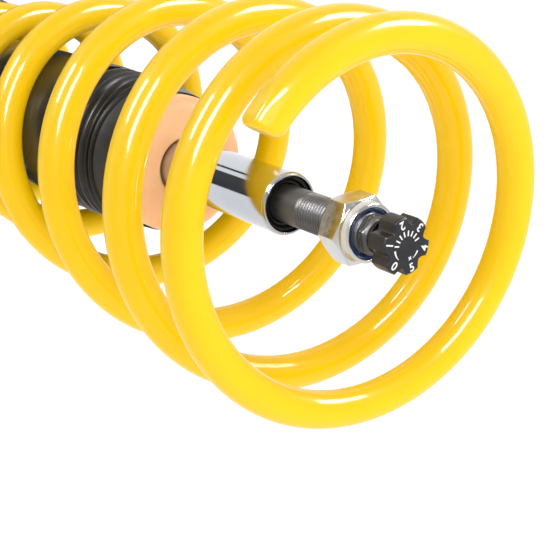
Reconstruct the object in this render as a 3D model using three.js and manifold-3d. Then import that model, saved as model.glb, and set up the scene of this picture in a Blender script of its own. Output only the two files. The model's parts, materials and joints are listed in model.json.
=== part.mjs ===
// Adjustable coilover strut: conical coil spring on a threaded twin-tube damper.
// Millimetres, +Z up along the strut axis, origin at the centre of the bottom face.
import * as THREE from 'three';
import { mergeVertices } from 'three/addons/utils/BufferGeometryUtils.js';
import Module from 'manifold-3d';

const wasm = await Module();
wasm.setup();

// ---- driving dimensions ----
const GAP = 0.3;                    // air between touching pieces
const FINE = 36;                    // facets round a visible turned piece
const COARSE = 24;                  // facets round an inner piece

const SPRING_TOP = 520;             // centre of the wire at its upper cut end
const WIRE = 11.5;
const SPRING_TURNS = 7.5;
const START_TURN = -0.005;          // the upper end reaches back a little past turn 0
const END_PITCH = 14.3;             // mm per turn at the upper end
const BODY_PITCH = 52;
const PITCH_RAMP = 2.65;            // turns over which the upper pitch opens
const CLOSING_START = 5.75;         // turn at which the lower end starts to close
const CLOSING_TURNS = 1.0;
const CLOSED_PITCH = 12;
const SPRING_START_ANGLE = 154.8;   // degrees, at turn 0
// mean coil radius at a few turns, counted from the upper end
const RADIUS_STOPS = [[0, 56.2], [1.2, 56], [2.2, 54.6], [3.2, 51.4], [4.2, 45], [6, 36.3]];
const SPRING_LEAN = [0.6, 1.6];     // sideways offset of the free upper end
const SPRING_TILT = 0.0127;         // slope of the free coils, which turns them about a point
const TILT_PIVOT = SPRING_TOP - 60; // at this height
const TILT_START = SPRING_TOP - 255;
const TILT_RISE = 60;               // height over which the seated coils take up the tilt
const STEPS_PER_TURN = 20;

const ROD_RADIUS = 10;
const ROD_BORE = 4;
const ROD_TOP = SPRING_TOP - 45.5;
const ROD_RIM = 1.1;                // chamfer round the rod's end
const RECESS_RADIUS = 8.9;
const RECESS_DEPTH = 4;
const STUD_RADIUS = 6;
const STUD_TOP = SPRING_TOP - 2.6;
const STUD_ROOT = 14;               // length held inside the rod
const STUD_BORE = 3.6;

const NUT_BOTTOM = SPRING_TOP - 18.2;
const NUT_HEIGHT = 12;
const NUT_FLATS = 19;
const NUT_TURN = THREE.MathUtils.degToRad(22);   // where one corner of the hexagon points
const NYLON_RADIUS = 7.2;
const NYLON_HEIGHT = 3.2;

const KNOB_BOTTOM = SPRING_TOP + 1.4;
const KNOB_TOP = SPRING_TOP + 9;
const KNOB_RADIUS = 8.5;
const KNOB_SCALLOP = 2;
const KNOB_LOBES = 6;
const KNOB_TURN = THREE.MathUtils.degToRad(4);   // where the middle of one lobe points
const SHAFT_RADIUS = 2.5;

const STOP_TOP = SPRING_TOP - 105.5;
const STOP_SHOULDER = SPRING_TOP - 131;
const STOP_BOTTOM = SPRING_TOP - 145;
const STOP_RADIUS = 24.1;
const STOP_NECK = 19;
const STOP_EDGE = 12;               // radius that rounds the stop's upper edge
const BOOT_TOP = SPRING_TOP - 116;
const BOOT_BOTTOM = SPRING_TOP - 196;
const BOOT_RADIUS = 26.8;
const BOOT_WALL = 2.2;
const RIB_COUNT = 5;
const RIB_PITCH = 6.4;
const RIB_DEPTH = 2;
const SLEEVE_TOP = SPRING_TOP - 163;
const SLEEVE_BOTTOM = SPRING_TOP - 250;
const SLEEVE_RADIUS = 28.8;
const SLEEVE_SHOULDER = SPRING_TOP - 186;   // above this height the sleeve narrows
const SLEEVE_NECK = 26.5;           // to this radius

const TUBE_RADIUS = 25;
const TUBE_BORE = 22;
const TUBE_TOP = SPRING_TOP - 236;
const TUBE_BOTTOM = 6;
const INNER_RADIUS = 19;
const INNER_BORE = 16.5;
const PISTON_TOP = 214;

const PAD_THICKNESS = 3;
const PERCH_FLANGE = 44;
const PERCH_BOSS = 29.8;
const PERCH_BODY = 36;
const PERCH_HEIGHT = 21;
const RING_RADIUS = 34;
const RING_HEIGHT = 8;
const SPANNER_SLOTS = 8;

const BRACKET_BOTTOM = 8;
const BRACKET_HEIGHT = 84;
const BRACKET_PLATE = 6;
const BRACKET_REACH = 76;
const KNUCKLE_X = 60;
const KNUCKLE_HOLE = 7;
const KNUCKLE_HOLE_Z = [24, 76];

const COLOURS = {
  yellow: [0xf6c800, 0.3, 0], chrome: [0xd8dade, 0.12, 1], zinc: [0xc9c8c0, 0.3, 0.9],
  darkSteel: [0x3c3d3f, 0.45, 0.7], steel: [0x9a9ca0, 0.4, 0.9], black: [0x17171a, 0.4, 0],
  rubber: [0x1b1b1d, 0.75, 0], foam: [0xf0b383, 0.75, 0], nylon: [0x23305c, 0.5, 0],
  bronze: [0xa9824a, 0.45, 0.8], white: [0xe6e4dc, 0.6, 0], sleeve: [0x241e17, 0.2, 0],
  housing: [0x8d9094, 0.35, 0.9], perch: [0x2b2c2f, 0.4, 0.6],
};

const strut = new THREE.Group();

function add(name, geometry, finish) {
  const [color, roughness, metalness] = COLOURS[finish];
  const mesh = new THREE.Mesh(geometry, new THREE.MeshStandardMaterial({ color, roughness, metalness }));
  mesh.name = name;
  strut.add(mesh);
  return mesh;
}

// ---- geometry helpers ----

// A body turned about Z from [radius, height] points listed anticlockwise.
function turned(points, facets = FINE) {
  const outline = points.map(([radius, z]) => new THREE.Vector2(radius, z));
  if (points[0][0] > 0 || points[points.length - 1][0] > 0) outline.push(outline[0].clone());
  return new THREE.LatheGeometry(outline, facets).rotateX(Math.PI / 2);
}

// A plain ring between two radii and two heights.
function ring(inner, outer, bottom, top, facets = COARSE) {
  return turned([[inner, bottom], [outer, bottom], [outer, top], [inner, top]], facets);
}

// A flat outline in the XY plane, raised from one height to another.
function raised(shape, bottom, top) {
  const depth = top - bottom;
  return new THREE.ExtrudeGeometry(shape, { depth, bevelEnabled: false }).translate(0, 0, bottom);
}

function regularOutline(sides, radius, turn = 0) {
  const corner = (i) => {
    const angle = turn + (i * 2 * Math.PI) / sides;
    return new THREE.Vector2(radius * Math.cos(angle), radius * Math.sin(angle));
  };
  return Array.from({ length: sides }, (_, i) => corner(i));
}

function withHole(shape, outline) {
  shape.holes.push(new THREE.Path(outline));
  return shape;
}

function solid(geometry) {
  const bare = geometry.clone();
  bare.deleteAttribute('normal');
  bare.deleteAttribute('uv');
  const welded = mergeVertices(bare, 1e-4);
  const vertProperties = new Float32Array(welded.attributes.position.array);
  const triVerts = new Uint32Array(welded.index.array);
  return new wasm.Manifold(new wasm.Mesh({ numProp: 3, vertProperties, triVerts }));
}

function geometryOf(body) {
  const { vertProperties, triVerts } = body.getMesh();
  const geometry = new THREE.BufferGeometry();
  geometry.setAttribute('position', new THREE.BufferAttribute(vertProperties, 3));
  geometry.setIndex(new THREE.BufferAttribute(triVerts, 1));
  return geometry;
}

function cut(geometry, ...tools) {
  return geometryOf(tools.reduce((body, tool) => body.subtract(solid(tool)), solid(geometry)));
}

function box(low, high) {
  const size = high.map((value, i) => value - low[i]);
  const centre = high.map((value, i) => (value + low[i]) / 2);
  return new THREE.BoxGeometry(...size).translate(...centre);
}

// A round drill of the given radius along Y or X, centred on a point.
function drill(radius, length, axis, centre, facets = 20) {
  const cylinder = new THREE.CylinderGeometry(radius, radius, length, facets);
  if (axis === 'x') cylinder.rotateZ(Math.PI / 2);
  return cylinder.translate(...centre);
}

// ---- coil spring ----

function coilRadius(turn) {
  const last = RADIUS_STOPS.length - 1;
  if (turn >= RADIUS_STOPS[last][0]) return RADIUS_STOPS[last][1];
  const i = RADIUS_STOPS.findIndex(([stop]) => stop > Math.max(turn, 0)) - 1;
  const slope = (k) => (k === 0 || k === last ? 0
    : (RADIUS_STOPS[k + 1][1] - RADIUS_STOPS[k - 1][1]) / (RADIUS_STOPS[k + 1][0] - RADIUS_STOPS[k - 1][0]));
  const [t0, r0] = RADIUS_STOPS[i];
  const [t1, r1] = RADIUS_STOPS[i + 1];
  const span = t1 - t0;
  const u = (turn - t0) / span;
  return (2 * u ** 3 - 3 * u ** 2 + 1) * r0 + (u ** 3 - 2 * u ** 2 + u) * span * slope(i)
    + (3 * u ** 2 - 2 * u ** 3) * r1 + (u ** 3 - u ** 2) * span * slope(i + 1);
}

// How far the wire has dropped below the upper end after some turns: the pitch
// opens steadily, stays constant, then closes steadily onto the lower end.
function coilDrop(turn) {
  const ramped = (t, from, to, length) => from * t + ((to - from) * t * t) / (2 * length);
  const upper = Math.min(turn, PITCH_RAMP);
  const body = THREE.MathUtils.clamp(turn - PITCH_RAMP, 0, CLOSING_START - PITCH_RAMP);
  const closing = THREE.MathUtils.clamp(turn - CLOSING_START, 0, CLOSING_TURNS);
  const closed = Math.max(turn - CLOSING_START - CLOSING_TURNS, 0);
  return ramped(upper, END_PITCH, BODY_PITCH, PITCH_RAMP) + body * BODY_PITCH
    + ramped(closing, BODY_PITCH, CLOSED_PITCH, CLOSING_TURNS) + closed * CLOSED_PITCH;
}

const SPRING_FOOT = SPRING_TOP - coilDrop(SPRING_TURNS);   // wire centre at the lower end
const SEAT = SPRING_FOOT - WIRE / 2 - GAP;                 // the spring rests here
const PERCH_TOP = SEAT - PAD_THICKNESS - GAP;
const RING_TOP = PERCH_TOP - PERCH_HEIGHT - GAP;

class CoilCurve extends THREE.Curve {
  getPoint(u, target = new THREE.Vector3()) {
    const turn = START_TURN + u * (SPRING_TURNS - START_TURN);
    const angle = THREE.MathUtils.degToRad(SPRING_START_ANGLE) - turn * 2 * Math.PI;
    const z = SPRING_TOP - coilDrop(turn);
    const lean = (z - SPRING_FOOT) / (SPRING_TOP - SPRING_FOOT);
    const tilt = SPRING_TILT * THREE.MathUtils.smoothstep(z, TILT_START, TILT_START + TILT_RISE);
    const radius = coilRadius(turn) / Math.cos(Math.PI / STEPS_PER_TURN);
    return target.set(radius * Math.cos(angle) + lean * SPRING_LEAN[0],
      radius * Math.sin(angle) + lean * SPRING_LEAN[1] - tilt * (z - TILT_PIVOT),
      z + tilt * radius * Math.sin(angle));
  }

  getPointAt(u, target) { return this.getPoint(u, target); }

  getTangentAt(u, target) { return this.getTangent(u, target); }
}

function addSpring() {
  const sides = 12;
  const section = new THREE.Shape(regularOutline(sides, WIRE / 2));
  const steps = SPRING_TURNS * STEPS_PER_TURN;
  const options = { steps, extrudePath: new CoilCurve(), bevelEnabled: false };
  add('coil_spring', new THREE.ExtrudeGeometry(section, options), 'yellow');
}

// ---- upper end: rod, stud, nut and knob ----

function addRod() {
  const foot = PISTON_TOP;
  const stud = STUD_RADIUS + GAP;
  add('piston_rod', turned([
    [ROD_BORE, foot - 24], [6, foot - 24], [6, foot], [ROD_RADIUS, foot], [ROD_RADIUS, ROD_TOP - ROD_RIM],
    [ROD_RADIUS - ROD_RIM / 2, ROD_TOP], [RECESS_RADIUS, ROD_TOP], [RECESS_RADIUS, ROD_TOP - RECESS_DEPTH],
    [stud, ROD_TOP - RECESS_DEPTH], [stud, ROD_TOP - RECESS_DEPTH - STUD_ROOT],
    [ROD_BORE, ROD_TOP - RECESS_DEPTH - STUD_ROOT],
  ]), 'chrome');
}

function addStud() {
  const foot = ROD_TOP - RECESS_DEPTH - STUD_ROOT + GAP;
  add('threaded_stud', turned([
    [STUD_BORE, foot], [STUD_RADIUS, foot], [STUD_RADIUS, STUD_TOP - 1.2], [STUD_RADIUS - 1, STUD_TOP],
    [STUD_BORE, STUD_TOP],
  ]), 'darkSteel');
  const floor = ROD_TOP - RECESS_DEPTH + GAP;
  add('stud_seat_ring', turned([
    [STUD_RADIUS + GAP, floor], [RECESS_RADIUS - GAP, floor], [RECESS_RADIUS - GAP, floor + 2.6],
    [RECESS_RADIUS - 1.2, floor + 1.4], [STUD_RADIUS + GAP, floor + 1.4],
  ]), 'black');
}

function addNut() {
  const corner = NUT_FLATS / 2 / Math.cos(Math.PI / 6);
  const thread = STUD_RADIUS + GAP;
  const top = NUT_BOTTOM + NUT_HEIGHT;
  const shoulder = NUT_BOTTOM + 8.6;
  const hex = new THREE.Shape(regularOutline(6, corner, NUT_TURN));
  const blank = solid(raised(hex, NUT_BOTTOM, shoulder));
  const collar = solid(turned([[0, shoulder - 1], [9.2, shoulder - 1], [9.2, shoulder + 0.6], [8.5, top], [0, top]]));
  const bevels = solid(turned([[0, NUT_BOTTOM], [9.6, NUT_BOTTOM], [12, NUT_BOTTOM + 1.4], [12, shoulder - 1.4],
    [9.6, shoulder], [9.6, top], [0, top]], FINE));
  const bore = solid(turned([[0, NUT_BOTTOM - 1], [thread, NUT_BOTTOM - 1], [thread, top - NYLON_HEIGHT - GAP],
    [NYLON_RADIUS + GAP, top - NYLON_HEIGHT - GAP], [NYLON_RADIUS + GAP, top + 1], [0, top + 1]], FINE));
  const body = blank.add(collar).intersect(bevels).subtract(bore);
  add('top_nut', geometryOf(body), 'zinc');
  add('nylon_insert', ring(thread, NYLON_RADIUS, top - NYLON_HEIGHT, top - 0.4, FINE), 'nylon');
}

function knobOutline() {
  const points = 96;
  return Array.from({ length: points }, (_, i) => {
    const angle = (i * 2 * Math.PI) / points;
    const dip = Math.max(0, -Math.cos(KNOB_LOBES * (angle - KNOB_TURN))) ** 0.8;
    const radius = KNOB_RADIUS - KNOB_SCALLOP * dip;
    return new THREE.Vector2(radius * Math.cos(angle), radius * Math.sin(angle));
  });
}

function addAdjuster() {
  const blank = raised(new THREE.Shape(knobOutline()), KNOB_BOTTOM, KNOB_TOP);
  const socketTop = KNOB_BOTTOM + 4.5;
  const socket = turned([[0, KNOB_BOTTOM - 1], [SHAFT_RADIUS + GAP, KNOB_BOTTOM - 1],
    [SHAFT_RADIUS + GAP, socketTop], [0, socketTop]], COARSE);
  add('rebound_knob', cut(blank, socket), 'black');
  const shaftFoot = PISTON_TOP - 2;
  const shaft = turned([[0, shaftFoot], [SHAFT_RADIUS, shaftFoot], [SHAFT_RADIUS, socketTop - GAP],
    [0, socketTop - GAP]], COARSE);
  const slot = box([-0.8, -SHAFT_RADIUS - 1, shaftFoot - 1], [0.8, SHAFT_RADIUS + 1, shaftFoot + 5]);
  add('adjuster_shaft', cut(shaft, slot), 'steel');
  add('shaft_o_ring', turned([[SHAFT_RADIUS + 0.1, STUD_TOP - 9], [STUD_BORE - 0.1, STUD_TOP - 9],
    [STUD_BORE - 0.1, STUD_TOP - 7], [SHAFT_RADIUS + 0.1, STUD_TOP - 7]], COARSE), 'rubber');
  const collar = ROD_BORE - GAP;
  add('bleed_needle', turned([
    [0, PISTON_TOP - 26], [0.9, PISTON_TOP - 20], [2, PISTON_TOP - 17], [collar, PISTON_TOP - 16],
    [collar, PISTON_TOP - 8], [2, PISTON_TOP - 7], [2, PISTON_TOP - 3.6], [0, PISTON_TOP - 3.6],
  ], COARSE), 'bronze');
}

// ---- bump stop, boot and sleeve ----

// Points on a quarter circle that rounds an upper outer edge.
function roundedEdge(radius, top, edge, steps = 5) {
  return Array.from({ length: steps + 1 }, (_, i) => {
    const angle = (i / steps) * (Math.PI / 2);
    return [radius - edge + edge * Math.cos(angle), top - edge + edge * Math.sin(angle)];
  });
}

function addBumpStop() {
  const bore = ROD_RADIUS + GAP;
  add('bump_stop', turned([
    [bore, STOP_BOTTOM], [STOP_NECK, STOP_BOTTOM], [STOP_NECK, STOP_SHOULDER], [STOP_RADIUS, STOP_SHOULDER],
    ...roundedEdge(STOP_RADIUS, STOP_TOP, STOP_EDGE), [bore, STOP_TOP],
  ]), 'foam');
}

// The boot's ribbed skirt hangs in the sleeve, and its smooth upper end grips the bump stop.
function addBoot() {
  const lip = STOP_RADIUS + GAP;
  const neck = STOP_NECK + GAP;
  const shelf = STOP_SHOULDER - GAP;
  const collar = TUBE_RADIUS - 0.4;
  const skirt = collar - BOOT_WALL;
  const first = SLEEVE_TOP + 2;
  const ribs = Array.from({ length: RIB_COUNT }, (_, i) => {
    const z = first + i * RIB_PITCH;
    return [[BOOT_RADIUS - RIB_DEPTH, z], [BOOT_RADIUS, z + RIB_PITCH * 0.3], [BOOT_RADIUS, z + RIB_PITCH * 0.7]];
  }).flat();
  const dome = first + RIB_COUNT * RIB_PITCH;
  add('dust_boot', turned([
    [skirt, BOOT_BOTTOM], [collar, BOOT_BOTTOM], [collar, first - 0.5], ...ribs,
    [BOOT_RADIUS - RIB_DEPTH, dome], [BOOT_RADIUS - 0.8, dome + 2], [lip + 0.6, dome + 7],
    [lip + 0.3, BOOT_TOP], [lip, BOOT_TOP],
    [lip, shelf], [neck, shelf], [neck, shelf - 2.7], [skirt, shelf - 4.7],
  ]), 'rubber');
}

function addSleeve() {
  add('dust_sleeve', turned([
    [TUBE_RADIUS + GAP, SLEEVE_BOTTOM], [SLEEVE_RADIUS - 1, SLEEVE_BOTTOM], [SLEEVE_RADIUS, SLEEVE_BOTTOM + 1],
    [SLEEVE_RADIUS, SLEEVE_SHOULDER], [SLEEVE_NECK, SLEEVE_SHOULDER + 8], [SLEEVE_NECK, SLEEVE_TOP],
    [TUBE_RADIUS + GAP, SLEEVE_TOP],
  ]), 'sleeve');
}

// ---- damper ----

function addHousing() {
  add('strut_tube', ring(TUBE_BORE, TUBE_RADIUS, TUBE_BOTTOM, TUBE_TOP, FINE), 'housing');
  add('end_cap', turned([
    [0, 0], [TUBE_RADIUS - 2, 0], [TUBE_RADIUS, 2], [TUBE_RADIUS, TUBE_BOTTOM - GAP],
    [TUBE_BORE - GAP, TUBE_BOTTOM - GAP], [TUBE_BORE - GAP, TUBE_BOTTOM + 4], [0, TUBE_BOTTOM + 4],
  ]), 'housing');
  add('pressure_tube', ring(INNER_BORE, INNER_RADIUS, 24, TUBE_TOP - 32), 'steel');
}

function addBaseValve() {
  const foot = TUBE_BOTTOM + 4 + GAP;
  const bore = 3 + GAP;
  add('base_valve', turned([[bore, foot], [INNER_RADIUS, foot], [INNER_RADIUS, 24 - GAP],
    [INNER_BORE - GAP, 24 - GAP], [INNER_BORE - GAP, 30], [bore, 30]], COARSE), 'steel');
  add('base_valve_shims', ring(bore, 12, 30 + GAP, 31.5), 'steel');
  add('base_valve_bolt', turned([[0, foot], [3, foot], [3, 31.8], [6, 31.8], [6, 36], [0, 36]], COARSE), 'darkSteel');
}

function addPiston() {
  const bore = 6 + GAP;
  const top = PISTON_TOP - GAP;
  const groove = INNER_BORE - 2.5;
  add('rebound_shims', ring(bore, 13, top - 1.6, top), 'steel');
  const body = top - 1.6 - GAP;
  const height = 13;
  add('piston', turned([
    [bore, body - height], [INNER_BORE - 0.5, body - height], [INNER_BORE - 0.5, body - height + 3],
    [groove, body - height + 3], [groove, body - 3], [INNER_BORE - 0.5, body - 3], [INNER_BORE - 0.5, body],
    [bore, body],
  ], COARSE), 'bronze');
  add('piston_band', ring(groove + 0.1, INNER_BORE - 0.1, body - height + 3 + GAP, body - 3 - GAP), 'black');
  const under = body - height - GAP;
  add('compression_shims', ring(bore, 12, under - 1.6, under), 'steel');
  const hex = withHole(new THREE.Shape(regularOutline(6, 10.4)), regularOutline(COARSE, bore));
  add('piston_nut', raised(hex, under - 1.9 - 6, under - 1.9), 'darkSteel');
}

function addGland() {
  const rod = ROD_RADIUS + 0.1;
  const guide = TUBE_TOP - 32 + GAP;
  add('rod_guide', turned([
    [12 + GAP, guide - 6], [INNER_BORE - GAP, guide - 6], [INNER_BORE - GAP, guide], [TUBE_BORE - GAP, guide],
    [TUBE_BORE - GAP, guide + 12], [12 + GAP, guide + 12],
  ], COARSE), 'steel');
  add('guide_bush', ring(rod, 12, guide - 6, guide + 12), 'bronze');
  add('rod_seal', ring(rod, 18, guide + 12 + GAP, guide + 19), 'rubber');
  add('gland_o_ring', ring(18 + GAP, TUBE_BORE - 0.2, guide + 12 + GAP, guide + 15), 'rubber');
  add('gland_nut', turned([
    [rod + 0.6, guide + 19 + GAP], [TUBE_BORE - GAP, guide + 19 + GAP], [TUBE_BORE - GAP, TUBE_TOP + GAP],
    [TUBE_RADIUS - 0.6, TUBE_TOP + GAP], [TUBE_RADIUS - 0.6, TUBE_TOP + 4], [rod + 0.6, TUBE_TOP + 4],
  ]), 'darkSteel');
  const bumper = guide - 6 - GAP;
  add('rebound_stop', ring(rod + 0.2, 14, bumper - 10, bumper), 'foam');
  add('rebound_stop_washer', ring(rod + 0.2, 15, bumper - 10 - GAP - 3, bumper - 10 - GAP), 'steel');
}

// ---- spring perch and lock ring ----

function slotTools(radius, bottom, top, count, width = 7, depth = 3.4) {
  return Array.from({ length: count }, (_, i) => {
    const tool = box([radius - depth, -width / 2, bottom], [radius + 5, width / 2, top]);
    return tool.rotateZ(((i + 0.5) * 2 * Math.PI) / count);
  });
}

function addPerch() {
  const bore = TUBE_RADIUS + GAP;
  const bottom = PERCH_TOP - PERCH_HEIGHT;
  const lower = PERCH_TOP - 6;
  const blank = turned([
    [bore, bottom], [PERCH_BODY, bottom], [PERCH_BODY, lower - 2], [PERCH_FLANGE - 1, lower],
    [PERCH_FLANGE, lower + 1], [PERCH_FLANGE, PERCH_TOP], [PERCH_BOSS, PERCH_TOP],
    [PERCH_BOSS - 1, PERCH_TOP + 12], [bore, PERCH_TOP + 12],
  ]);
  const screwZ = bottom + 5.2;
  const screwHole = drill(2.8, 20, 'x', [-PERCH_BODY + 1, 0, screwZ], 16);
  const slots = slotTools(PERCH_BODY, bottom - 1, lower - 3.5, SPANNER_SLOTS);
  add('spring_perch', cut(blank, screwHole, ...slots), 'perch');
  const screwLength = PERCH_BODY - TUBE_RADIUS - 1.5;
  const screw = drill(2.5, screwLength, 'x', [-TUBE_RADIUS - 0.6 - screwLength / 2, 0, screwZ], 12);
  add('perch_grub_screw', screw, 'darkSteel');
  add('spring_pad', ring(PERCH_BOSS + GAP, PERCH_FLANGE - 0.5, SEAT - PAD_THICKNESS, SEAT, FINE), 'black');
  const ringBlank = ring(bore, RING_RADIUS, RING_TOP - RING_HEIGHT, RING_TOP, FINE);
  const ringSlots = slotTools(RING_RADIUS, RING_TOP - RING_HEIGHT - 1, RING_TOP + 1, SPANNER_SLOTS);
  add('perch_lock_ring', cut(ringBlank, ...ringSlots), 'perch');
}

// ---- brackets on the housing ----

function addKnuckleBracket() {
  const inner = TUBE_RADIUS + GAP;
  const outer = inner + BRACKET_PLATE;
  const shape = new THREE.Shape();
  shape.moveTo(BRACKET_REACH, -outer);
  shape.lineTo(BRACKET_REACH, -inner);
  shape.lineTo(0, -inner);
  shape.absarc(0, 0, inner, -Math.PI / 2, -Math.PI * 1.5, true);
  shape.lineTo(BRACKET_REACH, inner);
  shape.lineTo(BRACKET_REACH, outer);
  shape.lineTo(0, outer);
  shape.absarc(0, 0, outer, Math.PI / 2, Math.PI * 1.5, false);
  const top = BRACKET_BOTTOM + BRACKET_HEIGHT;
  const blank = new THREE.ExtrudeGeometry(shape, { depth: BRACKET_HEIGHT, bevelEnabled: false, curveSegments: 9 });
  blank.translate(0, 0, BRACKET_BOTTOM);
  const holes = KNUCKLE_HOLE_Z.map((z) => drill(KNUCKLE_HOLE, 100, 'y', [KNUCKLE_X, 0, z]));
  const relief = box([outer + 12, -outer - 1, top - 8], [BRACKET_REACH + 1, outer + 1, top + 1]);
  add('knuckle_bracket', cut(blank, ...holes, relief), 'housing');
}

function addTabs() {
  const root = TUBE_RADIUS + GAP;
  const top = BRACKET_BOTTOM + BRACKET_HEIGHT;
  const link = box([-root - 26, -2.5, top + 4], [-root, 2.5, top + 26]);
  add('link_tab', cut(link, drill(5.2, 20, 'y', [-root - 15, 0, top + 15])), 'housing');
  const hose = box([-9, root, top + 12], [9, root + 20, top + 14.5]);
  const notch = box([-3.5, root + 9, top + 11], [3.5, root + 21, top + 16]);
  add('hose_tab', cut(hose, notch), 'housing');
}

addSpring();
addRod();
addStud();
addNut();
addAdjuster();
addBumpStop();
addBoot();
addSleeve();
addHousing();
addBaseValve();
addPiston();
addGland();
addPerch();
addKnuckleBracket();
addTabs();

export default strut;
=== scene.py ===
"""Looks of the adjustable coilover strut: detailed pieces, finishes, studio and camera.

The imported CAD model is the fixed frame. Lengths in this file are millimetres unless a name
says otherwise, and every point is scaled to metres where a mesh, light or camera is made.
"""

import json
import math

import bmesh
import bpy
from mathutils import Matrix, Vector

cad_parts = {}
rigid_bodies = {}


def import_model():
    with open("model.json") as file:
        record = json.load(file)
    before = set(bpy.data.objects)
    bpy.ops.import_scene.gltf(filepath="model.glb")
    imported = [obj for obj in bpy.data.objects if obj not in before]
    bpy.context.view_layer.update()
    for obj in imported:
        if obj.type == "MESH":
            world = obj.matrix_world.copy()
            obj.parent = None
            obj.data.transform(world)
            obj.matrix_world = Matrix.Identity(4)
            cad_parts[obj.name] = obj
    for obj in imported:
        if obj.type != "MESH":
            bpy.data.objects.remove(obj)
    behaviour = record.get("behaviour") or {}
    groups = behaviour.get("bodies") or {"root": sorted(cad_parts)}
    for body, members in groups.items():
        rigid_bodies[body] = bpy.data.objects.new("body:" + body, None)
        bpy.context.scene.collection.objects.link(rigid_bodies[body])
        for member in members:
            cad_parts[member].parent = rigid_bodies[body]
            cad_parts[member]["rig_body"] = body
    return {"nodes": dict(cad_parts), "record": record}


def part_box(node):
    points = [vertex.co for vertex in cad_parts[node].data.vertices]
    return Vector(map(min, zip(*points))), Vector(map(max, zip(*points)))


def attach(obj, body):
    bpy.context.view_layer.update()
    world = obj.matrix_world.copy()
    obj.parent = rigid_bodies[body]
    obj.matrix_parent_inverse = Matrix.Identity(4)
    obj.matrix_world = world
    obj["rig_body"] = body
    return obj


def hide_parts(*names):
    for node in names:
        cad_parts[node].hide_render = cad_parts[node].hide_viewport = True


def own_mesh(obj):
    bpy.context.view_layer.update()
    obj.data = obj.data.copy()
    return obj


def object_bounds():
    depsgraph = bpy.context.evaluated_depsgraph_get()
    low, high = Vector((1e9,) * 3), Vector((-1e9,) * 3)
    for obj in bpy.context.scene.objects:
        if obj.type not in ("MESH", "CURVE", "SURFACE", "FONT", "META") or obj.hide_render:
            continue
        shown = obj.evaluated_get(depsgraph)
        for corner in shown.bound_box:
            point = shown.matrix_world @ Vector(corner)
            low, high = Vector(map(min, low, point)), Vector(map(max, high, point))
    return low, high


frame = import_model()
CAD_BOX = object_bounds()

MM = 0.001
TURN = 2 * math.pi


# ---- where the CAD pieces are ----

def heights(node):
    """The lowest and highest height of a node at rest."""
    low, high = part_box(node)
    return low.z / MM, high.z / MM


def top_of(node):
    return heights(node)[1]


def radius_of(node):
    """The radius of a turned node, or how far another node reaches along +X."""
    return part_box(node)[1].x / MM


TOP = top_of("rebound_knob") - 9  # height of the wire's centre at the spring's upper end
ROD_TOP = top_of("piston_rod")
ROD = radius_of("piston_rod")
STUD_TOP = top_of("threaded_stud")
STUD = radius_of("threaded_stud")
TUBE = radius_of("strut_tube")


# ---- mesh helpers ----

def new_object(name, points, faces):
    mesh = bpy.data.meshes.new(name)
    mesh.from_pydata([Vector(point) * MM for point in points], [], faces)
    shape = bpy.data.objects.new(name, mesh)
    bpy.context.scene.collection.objects.link(shape)
    return shape


def cleaned(shape, crease=38):
    """Merges doubled points, turns the faces outwards and marks the sharp edges."""
    work = bmesh.new()
    work.from_mesh(shape.data)
    bmesh.ops.remove_doubles(work, verts=work.verts, dist=1e-7)
    bmesh.ops.recalc_face_normals(work, faces=work.faces)
    work.to_mesh(shape.data)
    work.free()
    shape.data.shade_smooth()
    shape.data.set_sharp_from_angle(angle=math.radians(crease))
    return shape


def baked(shape):
    """Replaces the mesh by what its modifiers make of it."""
    graph = bpy.context.evaluated_depsgraph_get()
    mesh = bpy.data.meshes.new_from_object(shape.evaluated_get(graph))
    shape.modifiers.clear()
    shape.data = mesh
    return shape


def carved(shape, *tools):
    for tool in tools:
        cut = shape.modifiers.new("cut", "BOOLEAN")
        cut.object = tool
        cut.solver = "EXACT"
    baked(shape)
    for tool in tools:
        bpy.data.objects.remove(tool)
    return shape


def bevelled(shape, width, angle=40):
    edge = shape.modifiers.new("edge", "BEVEL")
    edge.width = width * MM
    edge.segments = 3
    edge.limit_method = "ANGLE"
    edge.angle_limit = math.radians(angle)
    return cleaned(baked(shape))


def evened(shape):
    """Keeps large faces flat-looking beside their rounded edges."""
    normals = shape.modifiers.new("even", "WEIGHTED_NORMAL")
    normals.keep_sharp = True
    return shape


def filleted(*corners, steps=5):
    """An outline of (radius, height) corners, each rounded by its third number if it has one."""
    outline = []
    for i, corner in enumerate(corners):
        here = Vector(corner[:2])
        if len(corner) < 3:
            outline.append(tuple(here))
            continue
        before = Vector(corners[i - 1][:2]) - here
        after = Vector(corners[(i + 1) % len(corners)][:2]) - here
        back = corner[2] / math.tan(before.angle(after) / 2)
        back = min(back, 0.48 * before.length, 0.48 * after.length)
        start = here + before.normalized() * back
        end = here + after.normalized() * back
        for step in range(steps + 1):
            t = step / steps
            outline.append(tuple(start * (1 - t) ** 2 + here * 2 * t * (1 - t) + end * t * t))
    return outline


def stations(start, end, step):
    """Evenly spaced values from start to end, both included."""
    count = max(1, round(abs(end - start) / step))
    return [start + (end - start) * i / count for i in range(count + 1)]


def revolved(name, outline, segments=96, shape=None):
    """A closed body turned about Z. shape(radius, z, angle) may move each point."""
    rows = len(outline)
    points = []
    for i in range(segments):
        angle = TURN * i / segments
        for radius, z in outline:
            if shape:
                radius, z = shape(radius, z, angle)
            points.append((radius * math.cos(angle), radius * math.sin(angle), z))
    on_axis = outline[0][0] == 0 and outline[-1][0] == 0
    faces = []
    for i in range(segments):
        here = i * rows
        there = (i + 1) % segments * rows
        for k in range(rows - on_axis):
            above = (k + 1) % rows
            faces.append((here + k, there + k, there + above, here + above))
    return cleaned(new_object(name, points, faces))


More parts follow.
